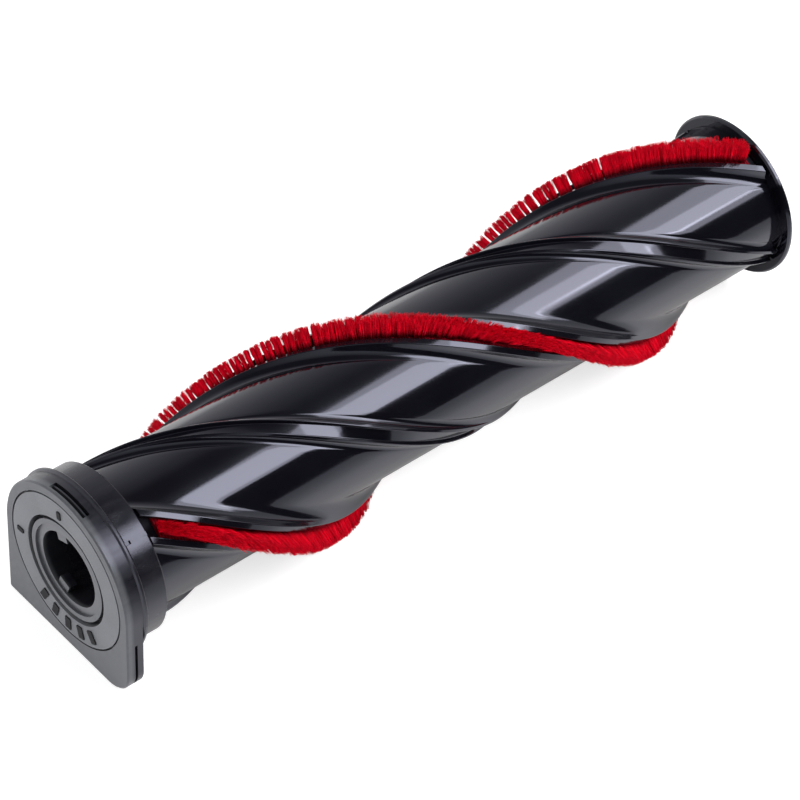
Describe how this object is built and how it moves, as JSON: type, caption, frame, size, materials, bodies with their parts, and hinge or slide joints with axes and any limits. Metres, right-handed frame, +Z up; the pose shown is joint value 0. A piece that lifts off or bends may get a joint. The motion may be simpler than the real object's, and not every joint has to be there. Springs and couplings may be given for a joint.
{
  "type": "vacuum brush roll",
  "caption": "Vacuum brush roll: glossy black spiral-ribbed tube with red pile strips, turning on a D-shaped end cap, with a flanged open drive end.",
  "frame": {"origin": "on the roll's axis, halfway along its length", "axes": "+X along the axis from the end cap to the open drive end, +Z up with the end cap's flat below"},
  "size_m": [0.2316, 0.0544, 0.0544],
  "materials": {
    "cap_plastic": "fine satin texture",
    "tube_plastic": "polished black",
    "pile": "cut nylon pile",
    "steel": "ground",
    "felt": "pressed felt",
    "hub_plastic": "moulded"
  },
  "bodies": {
    "cap": {"end_cap": "cap_plastic", "face_disc": "cap_plastic", "axle_sleeve": "cap_plastic", "axle_clip": "steel", "felt_seal": "felt", "bearing_inner_ring": "steel"},
    "roller": {"roller_tube": "tube_plastic", "bristle_strip_a": "pile", "bristle_strip_b": "pile", "end_flange": "tube_plastic", "drive_hub": "hub_plastic", "bearing_carrier": "hub_plastic", "carrier_clip": "steel", "bearing_outer_ring": "steel", "bearing_shield_front": "steel", "bearing_shield_back": "steel"},
    "ball_cage": {"bearing_cage": "hub_plastic", "bearing_ball_1": "steel", "bearing_ball_2": "steel", "bearing_ball_3": "steel", "bearing_ball_4": "steel", "bearing_ball_5": "steel", "bearing_ball_6": "steel", "bearing_ball_7": "steel", "bearing_ball_8": "steel", "bearing_ball_9": "steel", "bearing_ball_10": "steel", "bearing_ball_11": "steel", "bearing_ball_12": "steel"}
  },
  "joints": [
    {"name": "roller_spin", "type": "hinge", "parent": "cap", "child": "roller", "pos_m": [0, 0, 0], "axis": [1, 0, 0], "continuous": true},
    {"name": "cage_spin", "type": "hinge", "parent": "cap", "child": "ball_cage", "pos_m": [0, 0, 0], "axis": [1, 0, 0], "continuous": true}
  ],
  "couplings": [
    {"joint": "cage_spin", "follows": "roller_spin", "ratio": 0.53509}
  ]
}
